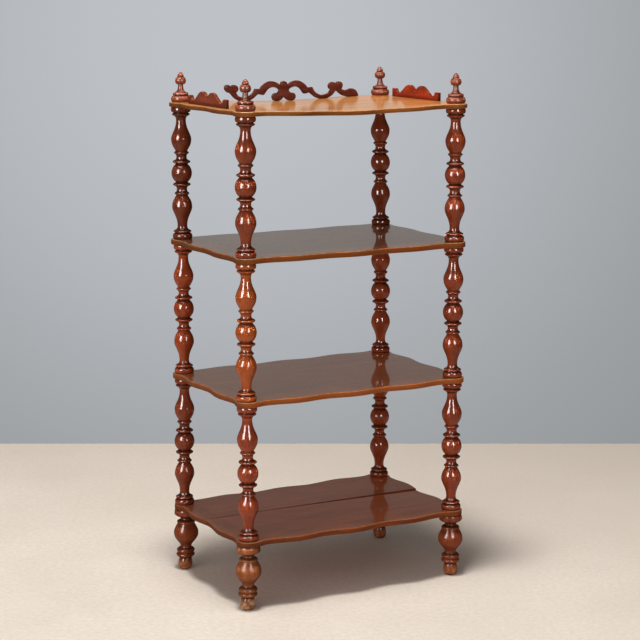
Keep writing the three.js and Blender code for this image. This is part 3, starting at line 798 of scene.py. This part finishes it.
def add_shelves(materials, half_x, half_y):
    for name, depth, material, slot in (
        ("lower_middle_shelf", MIDDLE_SAG, "lower_shelf", "shelf_wood"),
        ("upper_middle_shelf", MIDDLE_SAG, "upper_shelf", "shelf_wood"),
        ("top_shelf", TOP_SAG, "top_shelf", "top_shelf_wood"),
    ):
        edges = shelf_edges(half_x, half_y, WAVE_SHARES.get(name, 1.0))
        board(name, edges, shelf_sag(depth, half_x), materials[material])

    front, right, back, left = shelf_edges(half_x, half_y)
    sag = shelf_sag(BOTTOM_SAG, half_x)

    def front_sag(x, y):
        towards_end = np.clip((x - FRONT_BOARD_DROP_START_X) / (half_x - FRONT_BOARD_DROP_START_X), 0, 1)
        towards_joint = np.clip((y + half_y) / (JOINT_Y + half_y), 0, 1)
        drop = FRONT_BOARD_DROP * towards_end * towards_joint**FRONT_BOARD_DROP_BEND
        return drop + sag(x, y) * (1 - towards_joint)

    def back_sag(x, y):
        towards_back = np.clip((y - JOINT_Y) / (half_y - JOINT_Y), 0, 1)
        return sag(x, y) * towards_back

    near, far = JOINT_Y - JOINT_GAP / 2, JOINT_Y + JOINT_GAP / 2
    near_right, near_left = cut_path(right, near, True), cut_path(left, near, True)
    far_right, far_left = cut_path(right, far, False), cut_path(left, far, False)
    front_edges = [front, near_right, np.vstack([near_right[-1], near_left[0]]), near_left]
    back_edges = [np.vstack([far_left[-1], far_right[0]]), far_right, back, far_left]
    board("bottom_shelf_front_board", front_edges, front_sag, materials["bottom_shelf"], True)
    board("bottom_shelf_back_board", back_edges, back_sag, materials["bottom_shelf"], True)


# The finish of each post's spindles, from the lowest up, and of its foot
POST_FINISHES = {
    "front_left": ("bright_post", "orange_post", "red_post", "worn_foot"),
    "front_right": ("red_post", "red_post", "red_post", "red_foot"),
    "back_left": ("brown_post", "warm_post", "dark_post", "red_foot"),
    "back_right": ("red_post", "bright_post", "brown_post", "red_foot"),
}

# How far each post's pieces stand off their upright axis, along x: where the foot meets the floor,
# then the lower and upper end of each spindle from the lowest up, then the two ends of the finial
POST_LEANS = {
    "front_left": (-4.0, (1.2, -1.3), (-2.6, -1.6), (-1.2, 0.0), (0.0, 0.6)),
    "front_right": (1.6, (0.6, -0.6), (-0.4, -0.6), (0.6, 0.4), (0.0, -0.5)),
    "back_left": (-4.2, (-3.4, 0.8), (0.8, 2.4), (1.0, 0.4), (0.4, 1.0)),
    "back_right": (3.8, (0.0, 2.4), (2.8, 0.8), (1.2, -3.4), (-3.0, -4.4)),
}


def add_turnings(materials):
    spindle, foot, finial = spindle_rows(), foot_rows(), finial_rows()
    made = []
    for post in POSTS:
        centre, _, _ = place_of(f"{post}_foot")
        x, y = centre[:2]
        *spindle_finishes, foot_finish = POST_FINISHES[post]
        toe_shift, *spindle_shifts, finial_shift = POST_LEANS[post]
        made.append(turned_piece(
            f"{post}_foot", foot, (x, y, 0.0), materials[foot_finish], "foot_wood", toe_shift,
            bent_below=URN_START + BEND_IN_URN, rubbed_below=TOE["height"]))
        for (bay, under), finish, shifts in zip(BAY_BOARDS.items(), spindle_finishes, spindle_shifts):
            slot = "warm_post_wood" if bay == "middle" else "post_wood"
            base = (x, y, place_of(under)[2][2] + GLUE_LINE)
            made.append(turned_piece(
                f"{post}_{bay}_spindle", spindle, base, materials[finish], slot, *shifts))
        base = (x, y, place_of("top_shelf")[2][2] + GLUE_LINE)
        made.append(turned_piece(
            f"{post}_finial", finial, base, materials["worn_finial"], "post_wood", *finial_shift,
            rubbed=FINIAL_PROUD_WEAR))
    return made


def add_galleries(materials, half_x):
    sag = shelf_sag(TOP_SAG, half_x)
    made = [sawn_piece("back_gallery", scroll_outline(), False, lambda along: sag(along, 0.0),
                       materials["back_gallery"])]
    for name in ("left_gallery", "right_gallery"):
        outline = side_outline() * (SIDE_LENGTH_SHARES[name], 1.0)
        made.append(sawn_piece(name, outline, True, np.zeros_like, materials[name]))
    return made


def dress_dowels(material):
    """The dowels are hidden under the galleries, so they keep the CAD's own shapes."""
    for node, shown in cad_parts.items():
        if "dowel" in node:
            shown.data.materials.clear()
            shown.data.materials.append(material)


# The studio. The camera stands where the photograph was taken from.
CAMERA_PLACE = Vector((-2.266, -4.229, 1.550))
CAMERA_YAW = 28.26
CAMERA_PITCH = 10.38
LENS = 106.8
SENSOR = 36.0

# The floor, in metres. Its colour is painted a little lighter to the camera's left front than to
# its right back, a painted fall-off of the light.
FLOOR_BEHIND = 1.37
FLOOR_REACH = 3.0
FLOOR_PATCHES = (rgb(237, 223, 207), rgb(251, 239, 224))
FLOOR_PATCH_NOISE = (2.2, 4.0, 0.6)
FLOOR_SHADED_FAR = rgb(209, 195, 180)
FLOOR_SPECKS = rgb(213, 199, 182)
FLOOR_SPECK_NOISE = (75.0, 5.0, 0.7)
FLOOR_FOR_BOUNCES = rgb(216, 202, 187)
TOWARDS_FLOOR_SHADE = (0.62, 0.78, 0)

# The wall round its light spot: (nearness to it, colour)
WALL_SPOT = (0.432, 0.902, -0.033)
WALL_SPOT_ANGLE = 30.0
WALL_STOPS = (
    (0.0, rgb(132, 136, 138)), (0.55, rgb(143, 147, 148)), (0.69, rgb(151, 154, 156)),
    (0.78, rgb(158, 161, 163)), (0.887, rgb(171, 174, 178)), (0.972, rgb(185, 188, 192)),
    (1.0, rgb(190, 193, 198)),
)
MIRRORED_WALL_TINT = (1.0, 0.975, 0.89, 1.0)
MIRRORED_WALL_AZIMUTH = 90 - CAMERA_YAW + 35
DARK_ROOM = rgb(40, 40, 42)
SOFT_LIGHT = rgb(104, 103, 104)
SOFT_LIGHT_IN_FRONT = (2.35, 2.3, 2.3, 1.0)
SOFT_LIGHT_AZIMUTH = -145

# What the lamps face
LAMP_TARGET = Vector((0, 0, 0.7))


def add_camera():
    data = bpy.data.cameras.new("camera")
    data.lens = LENS
    data.sensor_width = SENSOR
    camera = bpy.data.objects.new("camera", data)
    camera.location = CAMERA_PLACE
    camera.rotation_euler = (math.radians(90 - CAMERA_PITCH), 0, math.radians(-CAMERA_YAW))
    bpy.context.scene.collection.objects.link(camera)
    bpy.context.scene.camera = camera


def add_floor():
    """A pale floor whose far edge lies square to the camera's view, like the foot of a wall."""
    mesh = bpy.data.meshes.new("floor")
    corners = [(-FLOOR_REACH, -FLOOR_REACH, 0), (FLOOR_REACH, -FLOOR_REACH, 0),
               (FLOOR_REACH, FLOOR_BEHIND, 0), (-FLOOR_REACH, FLOOR_BEHIND, 0)]
    mesh.from_pydata(corners, [], [(0, 1, 2, 3)])
    floor = bpy.data.objects.new("floor", mesh)
    floor.rotation_euler = (0, 0, math.radians(-CAMERA_YAW))
    bpy.context.scene.collection.objects.link(floor)
    material = bpy.data.materials.new("floor_paint")
    tree = Tree(material)
    place = tree.add("TexCoord", output="Object")
    patches = tree.noise(place, *FLOOR_PATCH_NOISE)
    specks = tree.noise(place, *FLOOR_SPECK_NOISE)
    colour = tree.ramp(patches, list(zip((0.3, 0.7), FLOOR_PATCHES)))
    # Painted fall-off of the light: the floor's colour fades to a darker one towards its right back
    towards_shade = tree.dot(place, TOWARDS_FLOOR_SHADE)
    colour = tree.mix(tree.remap(towards_shade, -0.6, 2.2), colour, FLOOR_SHADED_FAR)
    colour = tree.mix(tree.remap(specks, 0.35, 0.65, 0.0, 0.5), colour, FLOOR_SPECKS)
    seen = tree.maths("MAXIMUM", tree.add("LightPath", output="Is Camera Ray"),
                      tree.add("LightPath", output="Is Glossy Ray"))
    colour = tree.mix(seen, FLOOR_FOR_BOUNCES, colour)
    shader = tree.add("BsdfPrincipled", {"Base Color": colour, "Roughness": 0.8})
    tree.add("OutputMaterial", {"Surface": shader})
    mesh.materials.append(material)


def level_direction(azimuth):
    """A level unit vector, from degrees."""
    angle = math.radians(azimuth)
    return Vector((math.cos(angle), math.sin(angle), 0))


def add_world():
    """A grey-blue wall, lighter round one spot. The polish mirrors it, and a dark room in front.

    What matt surfaces get is a dim even light with a bright part at the left front.
    """
    world = bpy.data.worlds.new("studio")
    bpy.context.scene.world = world
    tree = Tree(world)

    # What the camera sees, then what gloss mirrors, then what lights matt surfaces
    towards = tree.add("TexCoord", output="Generated")
    to_spot = tree.dot(towards, WALL_SPOT)
    nearness = tree.remap(to_spot, math.cos(math.radians(WALL_SPOT_ANGLE)), 1.0)
    wall = tree.ramp(nearness, WALL_STOPS)
    to_wall = tree.dot(towards, level_direction(MIRRORED_WALL_AZIMUTH))
    warm_wall = tree.mix(1.0, wall, MIRRORED_WALL_TINT, "MULTIPLY")
    mirrored = tree.mix(tree.remap(to_wall, 0.2, 0.78), DARK_ROOM, warm_wall)
    to_front = tree.dot(towards, level_direction(SOFT_LIGHT_AZIMUTH))
    soft = tree.mix(tree.remap(to_front, 0.6, 1.0), SOFT_LIGHT, SOFT_LIGHT_IN_FRONT)
    glossy = tree.mix(tree.add("LightPath", output="Is Glossy Ray"), soft, mirrored)
    shown = tree.mix(tree.add("LightPath", output="Is Camera Ray"), glossy, wall)
    background = tree.add("Background", {"Color": shown, "Strength": 1.0})
    tree.add("OutputWorld", {"Surface": background})


def add_lamp(name, place, width, height, radiance, lights_matt=True):
    """A soft rectangular lamp that faces the object, for all surfaces or for their gloss only."""
    data = bpy.data.lights.new(name, "AREA")
    data.shape = "RECTANGLE"
    data.size = width
    data.size_y = height
    data.energy = radiance * math.pi * width * height
    lamp = bpy.data.objects.new(name, data)
    lamp.location = place
    lamp.rotation_euler = (LAMP_TARGET - Vector(place)).to_track_quat("-Z", "Y").to_euler()
    lamp.visible_diffuse = lights_matt
    bpy.context.scene.collection.objects.link(lamp)
    return lamp


def add_studio(turned_and_sawn):
    """The camera, the floor, the world and the lamps.

    The lamps at the left and in front are strong, so they show only where the wood is round or
    upright.
    """
    add_camera()
    add_floor()
    add_world()
    add_lamp("overhead_lamp", place=(-0.5, -0.45, 5.1), width=0.88, height=0.88, radiance=82.0)
    add_lamp("ceiling_lamp", place=(-0.6, -0.4, 3.3), width=2.6, height=1.4, radiance=12.0,
             lights_matt=False)
    left = add_lamp("left_lamp", place=(-3.42, -1.11, 1.95), width=1.4, height=2.4, radiance=55.0,
                    lights_matt=False)
    front = add_lamp("front_lamp", place=(-0.1, -3.6, 1.95), width=0.9, height=2.0, radiance=60.0,
                     lights_matt=False)
    lit = bpy.data.collections.new("lit_by_side_lamps")
    for piece in turned_and_sawn:
        lit.objects.link(piece)
    for lamp in (left, front):
        lamp.light_linking.receiver_collection = lit
    bpy.context.scene.view_settings.view_transform = "Standard"


def build():
    """Everything. The posts' places, from the middle of the object, come from the CAD."""
    centre, _, _ = place_of("front_right_foot")
    half_x, half_y = abs(centre[0]), abs(centre[1])
    materials = make_materials()
    add_shelves(materials, half_x, half_y)
    turned = add_turnings(materials)
    sawn = add_galleries(materials, half_x)
    dress_dowels(materials["dowel"])
    add_studio(turned + sawn)


build()
